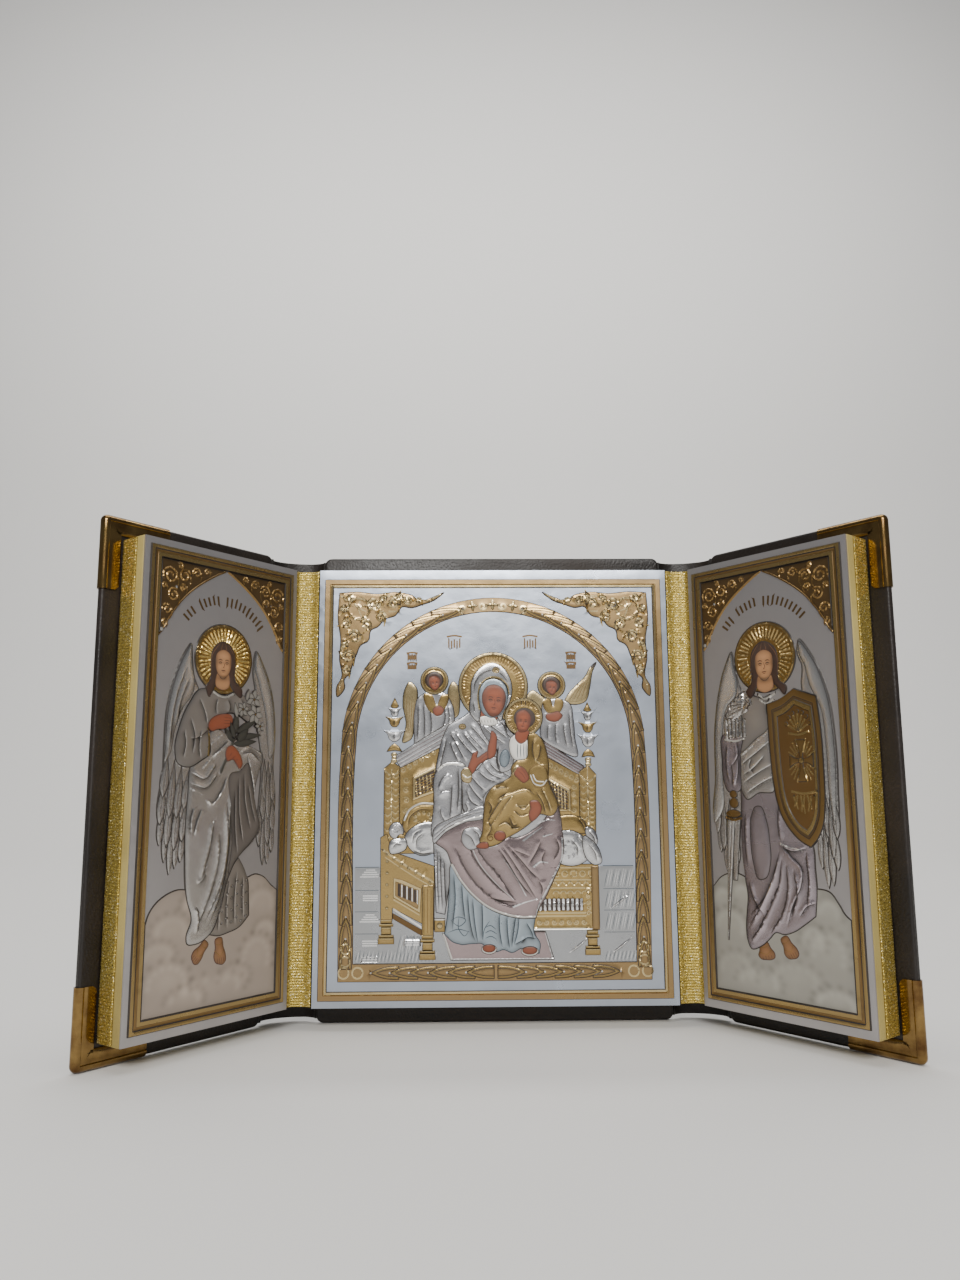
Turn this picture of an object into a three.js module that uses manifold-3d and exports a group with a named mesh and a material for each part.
// Folding triptych: three thick boards with embossed foil plates, in a book-like leatherette case.
// Millimetres, +X to the viewer's right, +Y away from the viewer, +Z up.
// The wings stand half open, as the case is set up on a shelf.
import * as THREE from "three";
import { mergeVertices } from "three/addons/utils/BufferGeometryUtils.js";
import Module from "manifold-3d";

const wasm = await Module();
wasm.setup();

// Driving dimensions of the boards
const panelHeight = 178;
const centreWidth = 147;
// The two wings meet in the middle when they fold over the centre
const wingWidth = centreWidth / 2;
const plateThickness = 0.8;
const boardThickness = 12.6;
const gap = 0.25;

// Driving dimensions of the case
const coverThickness = 3;
const coverBorder = 8.5;
const coverCornerRadius = 3;
const coverEdgeRound = 0.8;
const wingCoverInset = 1.5;
const clothThickness = 1.2;
const clothInset = 1.6;
const clothBulge = 8;

// Driving dimensions of the trim
const protectorLeg = 28;
const protectorFlange = 7.25;
const protectorWall = 0.5;
const protectorCornerRadius = 2.4;
const protectorEndRadius = 2;
const edgeBraidWidth = 8.6;
const braidEnd = 0.4;
const edgeBraidThickness = 0.7;
const hingeBraidThickness = 1;
const hingeBraidSag = 1.2;
const hingeBraidSetback = 0.9;

// The fold line of each gutter, beyond the centre board's edge and ahead of its front face
const hingeOut = 8.7;
const hingeForward = 1.444;
// Air between the plates, and between the wings' outer edges, when the case is shut
const closedClearance = 2.5;
const closedParting = 1;
// Angle of each wing from flat as it stands
const wingAngle = 52.16;

// Relief heights above the plate's front face
const lowRelief = 0.35;
const frameRelief = 0.8;
const frameStep = 0.5;
const throneRelief = 0.55;
const bodyRelief = 0.8;
const frontRelief = 1.05;

const sunk = 0.3;
const boardBack = plateThickness + gap + boardThickness;
const coverFront = boardBack + gap;
const coverBack = coverFront + coverThickness;

function solid(geometry) {
  const g = geometry.clone();
  g.deleteAttribute("normal");
  g.deleteAttribute("uv");
  const m = mergeVertices(g, 1e-5);
  return new wasm.Manifold(new wasm.Mesh({
    numProp: 3,
    vertProperties: new Float32Array(m.attributes.position.array),
    triVerts: new Uint32Array(m.index.array),
  }));
}

function geometryOf(manifold) {
  const m = manifold.getMesh();
  const g = new THREE.BufferGeometry();
  g.setAttribute("position", new THREE.BufferAttribute(new Float32Array(m.vertProperties), 3));
  g.setIndex(new THREE.BufferAttribute(new Uint32Array(m.triVerts), 1));
  g.computeVertexNormals();
  return g;
}

// Points that repeat or lie on a straight run are dropped
function corners(points) {
  const kept = points.slice();
  for (let i = kept.length - 1; i >= 0 && kept.length > 3; i--) {
    const a = kept[(i + kept.length - 1) % kept.length];
    const b = kept[i];
    const c = kept[(i + 1) % kept.length];
    const twiceArea = (b[0] - a[0]) * (c[1] - a[1]) - (c[0] - a[0]) * (b[1] - a[1]);
    if (Math.abs(twiceArea) < 1e-4) {
      kept.splice(i, 1);
    }
  }
  return kept;
}

function shapeOf(points, holes = []) {
  const s = new THREE.Shape(corners(points).map((p) => new THREE.Vector2(p[0], p[1])));
  for (const hole of holes) {
    s.holes.push(new THREE.Path(corners(hole).map((p) => new THREE.Vector2(p[0], p[1]))));
  }
  return s;
}

// A flat shape drawn in x and z becomes a slab between two depths
function slab(shape, front, back, bevel = 0) {
  const g = new THREE.ExtrudeGeometry(shape, {
    depth: back - front - 2 * bevel,
    bevelEnabled: bevel > 0,
    bevelThickness: bevel,
    bevelSize: bevel,
    bevelOffset: -bevel,
    bevelSegments: 2,
    curveSegments: 6,
  });
  g.rotateX(Math.PI / 2);
  g.translate(0, back - bevel, 0);
  return g;
}

function rectangle(x0, z0, x1, z1) {
  return [[x0, z0], [x1, z0], [x1, z1], [x0, z1]];
}

function roundedRectangle(x0, z0, x1, z1, radius, steps = 4) {
  const points = [];
  const corners = [[x1, z1, 0], [x0, z1, 90], [x0, z0, 180], [x1, z0, 270]];
  for (const [x, z, from] of corners) {
    const cx = x + (x === x1 ? -radius : radius);
    const cz = z + (z === z1 ? -radius : radius);
    for (let i = 0; i <= steps; i++) {
      const a = THREE.MathUtils.degToRad(from + 90 * i / steps);
      points.push([cx + radius * Math.cos(a), cz + radius * Math.sin(a)]);
    }
  }
  return points;
}

function disc(x, z, rx, rz = rx, steps = 28) {
  const points = [];
  for (let i = 0; i < steps; i++) {
    const a = 2 * Math.PI * i / steps;
    points.push([x + rx * Math.cos(a), z + rz * Math.sin(a)]);
  }
  return points;
}

// A pointed leaf or feather: root, tip and greatest width
function leaf(x0, z0, x1, z1, width, steps = 5) {
  const length = Math.hypot(x1 - x0, z1 - z0);
  const ux = (x1 - x0) / length;
  const uz = (z1 - z0) / length;
  const points = [];
  for (let side = 1; side >= -1; side -= 2) {
    for (let i = 0; i < steps; i++) {
      const t = side > 0 ? i / steps : 1 - i / steps;
      const w = side * width / 2 * Math.sin(Math.PI * Math.pow(t, 0.8));
      points.push([x0 + ux * length * t + uz * w, z0 + uz * length * t - ux * w]);
    }
  }
  return points;
}

// A smooth closed outline through a few corners
function smooth(corners, steps) {
  const curve = new THREE.CatmullRomCurve3(
    corners.map((p) => new THREE.Vector3(p[0], p[1], 0)), true, "centripetal");
  return curve.getPoints(steps).slice(0, steps).map((p) => [p.x, p.y]);
}

// A draped figure's outline from rows of height, left reach and right reach
function draped(rows, steps) {
  const left = rows.map((r) => [r[1], r[0]]);
  const right = rows.map((r) => [r[2], r[0]]).reverse();
  return smooth([...left, ...right], steps);
}

function pillar(x, z0, z1, halfWidths) {
  const points = [];
  const n = halfWidths.length - 1;
  for (let i = 0; i <= n; i++) {
    points.push([x + halfWidths[i], z0 + (z1 - z0) * i / n]);
  }
  for (let i = n; i >= 0; i--) {
    points.push([x - halfWidths[i], z0 + (z1 - z0) * i / n]);
  }
  return points;
}

function mirrored(points) {
  return points.map((p) => [-p[0], p[1]]).reverse();
}

// The picture follows its plate: its gilt frame keeps a plain margin to each edge
const plateRim = 0.15;

function embossedPlate(width, margin, frame, raised) {
  const across = (width / 2 - margin.side) / frame.half;
  const up = (panelHeight - margin.bottom - margin.top) / (frame.top - frame.bottom);
  const fit = (points) => points.map(
    (p) => [p[0] * across, margin.bottom + (p[1] - frame.bottom) * up]);
  let plate = solid(slab(
    shapeOf(rectangle(-width / 2 + plateRim, plateRim, width / 2 - plateRim, panelHeight - plateRim)),
    0, plateThickness));
  for (const [points, height, holes = []] of raised) {
    plate = plate.add(solid(slab(shapeOf(fit(points), holes.map(fit)), -height, sunk)));
  }
  return geometryOf(plate);
}

function frameRings(frame) {
  const mid = frame.width * 0.6;
  const inset = (by) => rectangle(
    -frame.half + by, frame.bottom + by, frame.half - by, frame.top - by);
  const ring = (outer, inner, height) => [inset(outer), height, [inset(inner).reverse()]];
  return [ring(0, mid, frameRelief), ring(mid - 0.01, frame.width, frameStep)];
}

// Middle plate: gilt border, arch band, corner scrolls, enthroned mother and child, two attendants
const archSpring = 103;
const archOuter = 62.8;
const archBand = 5.9;
const archFoot = 10.2;
const archSill = 6.8;
const scrollArc = 69;
const scrollReach = 65;
const scrollTop = 168;
const centreMargin = { side: 2.5, bottom: 3, top: 4.2 };
const centreFrame = { half: 71, bottom: 3, top: 173.8, width: 3.5 };

function archLine(radius, foot, steps) {
  const points = [[-radius, foot]];
  for (let i = 0; i <= steps; i++) {
    const a = Math.PI * (1 - i / steps);
    points.push([radius * Math.cos(a), archSpring + radius * Math.sin(a)]);
  }
  points.push([radius, foot]);
  return points.reverse();
}

// Corner scrollwork: the corner of a square outside an arc, its long edge lobed
function centreScroll() {
  const from = Math.acos(scrollReach / (scrollArc + 3));
  const to = Math.asin((scrollTop - archSpring) / (scrollArc + 3));
  const lobes = 7;
  const steps = lobes * 4;
  const points = [[scrollReach, scrollTop]];
  for (let i = 0; i <= steps; i++) {
    const a = to + (from - to) * i / steps;
    const lobe = Math.abs(Math.sin(Math.PI * lobes * i / steps));
    const end = Math.min(i, steps - i) < 2 ? 3.2 : 0;
    const r = scrollArc + 2.4 - 2.2 * lobe + end;
    const x = Math.min(r * Math.cos(a), scrollReach);
    const z = Math.min(archSpring + r * Math.sin(a), scrollTop);
    points.push([x, z]);
  }
  return points;
}

function centreRelief() {
  const relief = [...frameRings(centreFrame)];
  const inner = archLine(archOuter - archBand, archFoot + archSill, 32).reverse();
  relief.push([archLine(archOuter, archFoot, 32), frameRelief, [inner]]);
  relief.push([centreScroll(), frameStep]);
  relief.push([mirrored(centreScroll()), frameStep]);

  // Throne: back panel under a raised rail, two side posts with finials, seat and legs
  const postReach = 43;
  const postTop = 96;
  const seatTop = 56;
  const seatBottom = 31;
  relief.push([[[-postReach, seatTop], [postReach, seatTop], [postReach, postTop - 3],
    [18, 109], [-18, 111], [-postReach, postTop]], throneRelief]);
  relief.push([rectangle(-postReach - 3, 39, -24, seatTop + 4), throneRelief]);
  relief.push([rectangle(16, seatBottom - 1, postReach - 1, seatTop), throneRelief]);
  for (const [x, foot, top] of [[-43.8, 24, 40], [-27.6, 18.2, 40], [38.8, 18.2, 34]]) {
    relief.push([pillar(x, foot, top, [3.2, 3.2, 2, 2.6, 2.6]), throneRelief + 0.1]);
  }
  for (const [x, base, top] of [[-43.3, 60, postTop], [39.6, 66, postTop - 2]]) {
    relief.push([pillar(x, base, top, [2.2, 2.2, 2.2, 3.1, 2.4]), throneRelief + 0.15]);
  }
  const finial = [2.2, 0.8, 1.4, 3.9, 2.8, 1.6, 3.4, 1.2, 2, 0.3];
  relief.push([pillar(-41.2, postTop - 1, 123.5, finial), throneRelief]);
  relief.push([pillar(38.9, postTop - 3, 121.3, finial), throneRelief]);
  for (const [x, z, rx, rz] of [[-31, 75, 7.5, 5], [-31, 65.5, 11.5, 6.5], [31, 73.5, 8, 4.5],
    [33, 63, 9.5, 6.5]]) {
    relief.push([disc(x, z, rx, rz, 20), throneRelief + 0.2]);
  }
  relief.push([[[-21.6, 28.8], [-18, 18.2], [23.5, 18.2], [20.5, 28.8]], throneRelief]);

  // Attendants: halo, two wings and a robe each
  for (const [x, z] of [[-24.8, 130.6], [23.9, 128.4]]) {
    relief.push([disc(x, z, 5.8, 5.8, 22), lowRelief]);
    relief.push([disc(x, z - 0.6, 3.2, 3.9, 14), bodyRelief]);
    relief.push([draped([[z - 4, -2.6, 2.6], [z - 9, -6, 5.4], [z - 17, -7.2, 6.6],
      [z - 27, -6.8, 7]].map((r) => [r[0], r[1] + x, r[2] + x]), 22), bodyRelief - 0.2]);
  }
  relief.push([leaf(-33, 129.5, -35.4, 103.5, 7.6), lowRelief]);
  relief.push([leaf(-18, 129.5, -15, 112, 6), lowRelief]);
  relief.push([leaf(28.5, 119.5, 43, 138, 7.4), lowRelief]);
  relief.push([leaf(20, 119, 14.4, 126.5, 5.4), lowRelief]);

  // Mother: halo, veil, mantle, lap and dress
  relief.push([disc(-0.3, 128, 14.6, 14.6, 36), lowRelief]);
  relief.push([disc(-1.2, 125.6, 8.4, 12.2, 26), bodyRelief]);
  relief.push([draped([[118, -8.5, 6], [110, -20.5, 12], [93, -24.6, 21], [78, -25, 26.6],
    [64, -24.8, 27.6], [52, -20, 24.6], [40, -19.6, 20], [21.6, -20.4, 17.4]], 44), bodyRelief]);
  relief.push([draped([[76, -23, 24], [68, -24.6, 27.2], [56, -12, 26.6], [44, -4, 21.4],
    [35, 5, 16.6]], 30), bodyRelief + 0.12]);
  for (const x of [-2.6, 13.4]) {
    relief.push([disc(x, 22.4, 2.9, 1.9, 12), bodyRelief]);
  }

  // Child: halo, head, robe over the knees, feet
  relief.push([disc(12.3, 115.2, 7.9, 7.9, 28), bodyRelief + 0.1]);
  relief.push([disc(12, 114, 4.5, 5, 16), frontRelief]);
  relief.push([draped([[107.5, 10, 17.6], [99, 8.6, 22], [89, 0, 22.4], [80, -4.4, 26.2],
    [73, -4.8, 16], [63.5, -7.4, 2.4]], 34), frontRelief]);
  return relief;
}

// Wing plates: gilt frame, ogee scroll corners, a standing winged figure on clouds
const wingMargin = { side: 2.45, bottom: 3.4, top: 2.8 };
const wingFrame = { half: 34.3, bottom: 3.4, top: 175.2, width: 4.4 };
const fieldHalf = 29.7;
const fieldBottom = 7.6;
const ogeeTop = 171;
const ogeeDrop = 28;
const haloHeight = 136.6;
const haloRadius = 13.2;

function ogeeScroll() {
  const points = [[fieldHalf, ogeeTop]];
  const steps = 16;
  for (let i = 0; i <= steps; i++) {
    const t = i / steps;
    const lobe = 0.7 * Math.abs(Math.sin(Math.PI * 6 * t));
    const x = 3 + (fieldHalf - 3) * t;
    const z = ogeeTop - 0.4 - ogeeDrop * (0.42 * t + 0.58 * t * t * t);
    points.push([Math.min(x + lobe, fieldHalf), Math.min(z + lobe, ogeeTop)]);
  }
  return points.reverse();
}

// One folded wing: a smooth upper part and a fan of long feathers below
function foldedWing(side, reach, tip) {
  const s = side;
  const upper = draped([[141, 15.4, 16.8], [134, 14, 20.6], [124, 12.6, 23.4], [108, 14, 25.6],
    [92, 15, 26.4], [78, 15.5, reach - 1]], 26);
  const parts = [s > 0 ? upper : mirrored(upper)];
  const feathers = 6;
  for (let i = 0; i < feathers; i++) {
    const t = i / (feathers - 1);
    const feather = leaf(16.6 + 7.8 * t, 88, 16 + (reach - 16.5) * t, tip + 14 * t * t, 3.2, 4);
    parts.push(s > 0 ? feather : mirrored(feather));
  }
  return parts;
}

function cloudBank(rows) {
  const points = [[-fieldHalf, fieldBottom], [fieldHalf, fieldBottom]];
  for (const [x, z] of rows) {
    points.push([x, z]);
  }
  return points;
}

function wingRelief(figure) {
  const relief = [...frameRings(wingFrame)];
  relief.push([ogeeScroll(), lowRelief]);
  relief.push([mirrored(ogeeScroll()), lowRelief]);
  relief.push([disc(0, haloHeight, haloRadius, haloRadius, 36), lowRelief]);
  for (const side of [-1, 1]) {
    for (const part of foldedWing(side, 27.6, 55)) {
      relief.push([part, throneRelief]);
    }
  }
  relief.push([cloudBank(figure.clouds), lowRelief]);
  relief.push([disc(figure.head, 134.2, 6, 8.8, 22), bodyRelief]);
  relief.push([draped(figure.robe, 52), bodyRelief]);
  for (const [x, z] of figure.feet) {
    relief.push([disc(x, z, 3.1, 4.4, 14), bodyRelief]);
  }
  for (const part of figure.front) {
    relief.push([part, frontRelief]);
  }
  return relief;
}

const lilyFigure = {
  head: -0.6,
  clouds: [[29.7, 46.5], [24, 51.5], [16, 53], [8, 48], [-8, 46], [-16, 50], [-24, 48], [-29.7, 39.5]],
  robe: [[122.6, -9.6, 8.6], [112, -16, 17], [100, -21.2, 20], [90, -14.6, 20.4], [74, -14.4, 20.4],
    [62, -14.6, 13.4], [48, -13.6, 15.4], [33, -12.4, 14.6]],
  feet: [[-6.3, 28.2], [2.4, 26.8]],
  front: [
    disc(12, 113, 7.5, 8, 18),
    leaf(13, 108, -0.6, 93, 3.6),
    leaf(-7, 110, 4.4, 112.6, 6),
    disc(5.6, 99, 4, 3.6, 12),
  ],
};

// Kite shield: straight shoulders, sides drawn in to a point
function kite(x, top, point, half, inset) {
  const shoulder = top - 5;
  return [[x + 3.4, point + 1.6 * inset], [x + half - inset, top - 40], [x + half + 0.2 - inset, shoulder],
    [x - 0.2, top - inset], [x - half + inset, shoulder - 1], [x - half + 1 + inset, top - 40],
    [x - half + 5.4 + inset, point + 8]];
}

const shieldTop = 123.2;
const shieldPoint = 63.7;
const shieldHalf = 10.8;

const shieldFigure = {
  head: -0.3,
  clouds: [[29.7, 39.4], [24, 48], [17, 49.4], [8, 46], [-10, 46], [-18, 53], [-24, 50], [-29.7, 46]],
  robe: [[122.6, -11.6, 9], [112, -20.6, 12], [100, -22, 14], [86, -19.6, 15.4], [74, -15, 15.6],
    [56, -15.2, 16.4], [40, -13.4, 16.6], [26, -12.4, 1.4]],
  feet: [[-7, 25.4], [3.6, 27.4]],
  front: [
    kite(11.6, shieldTop, shieldPoint, shieldHalf, 0).reverse(),
    leaf(-18.4, 76, -23, 27, 2.6),
    rectangle(-21.4, 75, -15.6, 77),
  ],
};

// Cover board wrapped in leatherette, its edges softly rounded
function cover(x0, x1, z0, z1) {
  return slab(shapeOf(roundedRectangle(x0, z0, x1, z1, coverCornerRadius)), coverFront, coverBack,
    coverEdgeRound);
}

function board(width) {
  return slab(shapeOf(rectangle(-width / 2, 0, width / 2, panelHeight)), plateThickness + gap, boardBack);
}

const wingEdge = wingWidth / 2;
const wrap = gap + protectorWall;
const coverReach = wingEdge + coverBorder - wrap;
const coverLow = -coverBorder + wrap;
const coverHigh = panelHeight + coverBorder - wrap;

// Folded brass corner: two flanges and a rim around one outer corner of the cover
function cornerProtector(side, level) {
  const x1 = coverReach + wrap;
  const z1 = coverHigh + wrap;
  const x0 = x1 - protectorLeg;
  const z0 = z1 - protectorLeg;
  const r = protectorCornerRadius;
  const e = protectorEndRadius;
  const points = [[x1, z0]];
  for (let i = 0; i <= 4; i++) {
    const a = Math.PI / 8 * i;
    points.push([x1 - r + r * Math.cos(a), z1 - r + r * Math.sin(a)]);
  }
  points.push([x0, z1]);
  for (let i = 0; i <= 3; i++) {
    const a = Math.PI / 6 * i;
    points.push([x0 + e - e * Math.cos(a), z1 - protectorFlange + e - e * Math.sin(a)]);
  }
  points.push([x1 - protectorFlange, z1 - protectorFlange]);
  for (let i = 3; i >= 0; i--) {
    const a = Math.PI / 6 * i;
    points.push([x1 - protectorFlange + e - e * Math.sin(a), z0 + e - e * Math.cos(a)]);
  }
  const middle = panelHeight / 2;
  const turned = (list) => list.map((p) => [side * p[0], middle + level * (p[1] - middle)]);
  const outer = solid(slab(shapeOf(turned(points)), coverFront - wrap, coverBack + wrap));
  const room = roundedRectangle(-wingEdge, coverLow - gap, coverReach + gap, coverHigh + gap,
    coverCornerRadius);
  return outer.subtract(solid(slab(shapeOf(turned(room)), coverFront - gap, coverBack + gap)));
}

function edgeBraid() {
  const x0 = wingEdge + gap;
  const back = boardBack - gap;
  const rows = 12;
  const points = [];
  for (let i = 0; i <= rows; i++) {
    const ridge = i % 2 ? 0 : 0.18;
    points.push([x0 + edgeBraidThickness - ridge, back - edgeBraidWidth * i / rows]);
  }
  points.push([x0, back - edgeBraidWidth]);
  points.push([x0, back]);
  return points.reverse();
}

// A slab standing on its plan outline
function standing(points, z0, z1) {
  const g = new THREE.ExtrudeGeometry(shapeOf(points), { depth: z1 - z0, bevelEnabled: false });
  g.translate(0, 0, z0);
  return g;
}

// Where a point of a wing lies when the wing stands at its angle
const angle = THREE.MathUtils.degToRad(wingAngle);

const foldToEdge = hingeOut - coverBorder - closedParting / 2;
const foldToFace = closedClearance - hingeForward;

function wingPoint(side, out, depth) {
  const reach = out + foldToEdge;
  const back = depth + foldToFace;
  const x = side * (centreWidth / 2 + hingeOut + reach * Math.cos(angle) + back * Math.sin(angle));
  const y = -hingeForward - reach * Math.sin(angle) + back * Math.cos(angle);
  return [x, y];
}

// A strip of cloth bent along a curve seen from above
function bentStrip(start, control1, control2, end, thickness, steps) {
  const curve = new THREE.CubicBezierCurve(
    ...[start, control1, control2, end].map((p) => new THREE.Vector2(p[0], p[1])));
  const near = [];
  const far = [];
  for (let i = 0; i <= steps; i++) {
    const p = curve.getPoint(i / steps);
    const t = curve.getTangent(i / steps);
    near.push([p.x - t.y * thickness / 2, p.y + t.x * thickness / 2]);
    far.push([p.x + t.y * thickness / 2, p.y - t.x * thickness / 2]);
  }
  return [...far, ...near.reverse()];
}

function orient(points) {
  return THREE.ShapeUtils.area(points.map((p) => new THREE.Vector2(p[0], p[1]))) < 0
    ? points.slice().reverse() : points;
}

function hingeCloth(side) {
  const depth = coverFront + coverThickness / 2;
  const clear = gap + clothThickness / 2;
  const start = [side * (centreWidth / 2 + clear), depth];
  const end = wingPoint(side, wingCoverInset - clear, depth);
  const out = wingPoint(side, wingCoverInset - clear - clothBulge * 0.4, depth + clothBulge);
  const control1 = [start[0] + side * clothBulge * 0.4, depth + clothBulge];
  return orient(bentStrip(start, control1, out, end, clothThickness, 10));
}

function hingeBraid(side) {
  const inset = gap + hingeBraidThickness * 0.25;
  const depth = hingeBraidSetback + hingeBraidThickness / 2;
  const start = [side * (centreWidth / 2 + inset), depth];
  const end = wingPoint(side, -inset, depth);
  const c1 = [start[0] + side * 2.4, depth + hingeBraidSag];
  const c2 = wingPoint(side, -inset - 2.4, depth + hingeBraidSag);
  return orient(bentStrip(start, c1, c2, end, hingeBraidThickness, 8));
}

const colours = {
  leatherette: [0x2b241e, 0.0, 0.55],
  board: [0xcbb978, 0.0, 0.8],
  foil: [0xa8a9ae, 0.85, 0.38],
  braid: [0xb9993a, 0.6, 0.5],
  brass: [0xb5863c, 0.95, 0.22],
};

const triptych = new THREE.Group();
const assembly = new THREE.Group();
triptych.add(assembly);

function addPiece(parent, name, geometry, colour) {
  const [hex, metalness, roughness] = colours[colour];
  const g = geometry.clone();
  g.deleteAttribute("normal");
  g.deleteAttribute("uv");
  const merged = mergeVertices(g, 1e-5);
  merged.computeVertexNormals();
  const material = new THREE.MeshStandardMaterial({ color: hex, metalness, roughness });
  material.name = name;
  const mesh = new THREE.Mesh(merged, material);
  mesh.name = name;
  parent.add(mesh);
}

// Middle panel
addPiece(assembly, "centre_cover", cover(-centreWidth / 2, centreWidth / 2, -coverBorder,
  panelHeight + coverBorder), "leatherette");
addPiece(assembly, "centre_board", board(centreWidth), "board");
const centrePlate = embossedPlate(centreWidth, centreMargin, centreFrame, centreRelief());
addPiece(assembly, "centre_icon_plate", centrePlate, "foil");

// The two wings, each in a group that turns about its fold line, and the soft pieces between
for (const [word, side, figure] of [["left", -1, lilyFigure], ["right", 1, shieldFigure]]) {
  const fold = new THREE.Group();
  fold.position.set(side * (centreWidth / 2 + hingeOut), -hingeForward, 0);
  fold.rotation.z = -side * angle;
  const wing = new THREE.Group();
  wing.position.set(side * (wingEdge + foldToEdge), foldToFace, 0);
  fold.add(wing);
  assembly.add(fold);

  const hingeEnd = -side * (wingEdge - wingCoverInset);
  const outerEnd = side * coverReach;
  const [x0, x1] = side > 0 ? [hingeEnd, outerEnd] : [outerEnd, hingeEnd];
  addPiece(wing, `${word}_wing_cover`, cover(x0, x1, coverLow, coverHigh), "leatherette");
  addPiece(wing, `${word}_wing_board`, board(wingWidth), "board");
  const plate = embossedPlate(wingWidth, wingMargin, wingFrame, wingRelief(figure));
  addPiece(wing, `${word}_icon_plate`, plate, "foil");

  const braid = edgeBraid().map((p) => [side * p[0], p[1]]);
  addPiece(wing, `${word}_edge_braid`,
    standing(orient(braid), braidEnd, panelHeight - braidEnd), "braid");
  for (const level of ["top", "bottom"]) {
    const corner = geometryOf(cornerProtector(side, level === "top" ? 1 : -1));
    addPiece(wing, `${word}_${level}_corner`, corner, "brass");
  }

  const clothEnd = coverBorder - clothInset;
  addPiece(assembly, `${word}_hinge_cloth`,
    standing(hingeCloth(side), -clothEnd, panelHeight + clothEnd), "leatherette");
  addPiece(assembly, `${word}_hinge_braid`,
    standing(hingeBraid(side), braidEnd, panelHeight - braidEnd), "braid");
}

// The origin is the middle of the footprint at the height of the lowest edges
const box = new THREE.Box3().setFromObject(triptych, true);
assembly.position.set(-(box.min.x + box.max.x) / 2, -(box.min.y + box.max.y) / 2, -box.min.z);

export default triptych;
